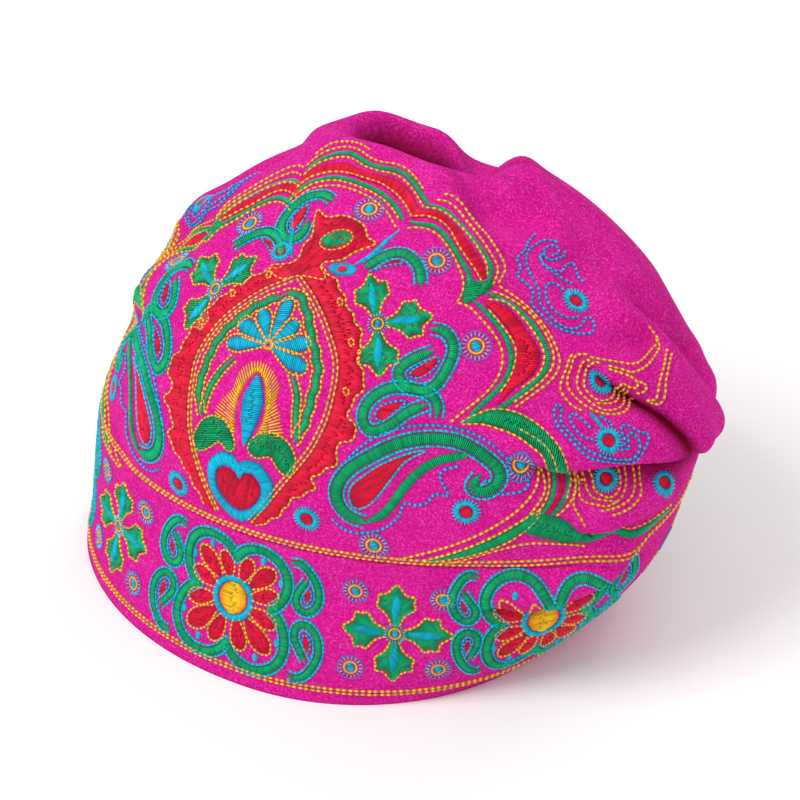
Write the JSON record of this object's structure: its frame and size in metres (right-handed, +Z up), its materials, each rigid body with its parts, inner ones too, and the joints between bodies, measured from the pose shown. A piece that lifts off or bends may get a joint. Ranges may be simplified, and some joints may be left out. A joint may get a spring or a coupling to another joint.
{
  "type": "turban cap",
  "caption": "Soft magenta turban cap with a head band and a folded crown, covered in multicoloured embroidery, standing on its rim.",
  "frame": {"origin": "middle of the outline seen from above, on the surface the rim stands on", "axes": "+Z up, -Y towards the front of the cap, +X towards the wearer's left"},
  "size_m": [0.2246, 0.1839, 0.1551],
  "materials": {
    "band_cloth": "matte",
    "crown_cloth": "matte"
  },
  "bodies": {
    "root": {"head_band": "band_cloth", "crown": "crown_cloth"}
  },
  "joints": []
}
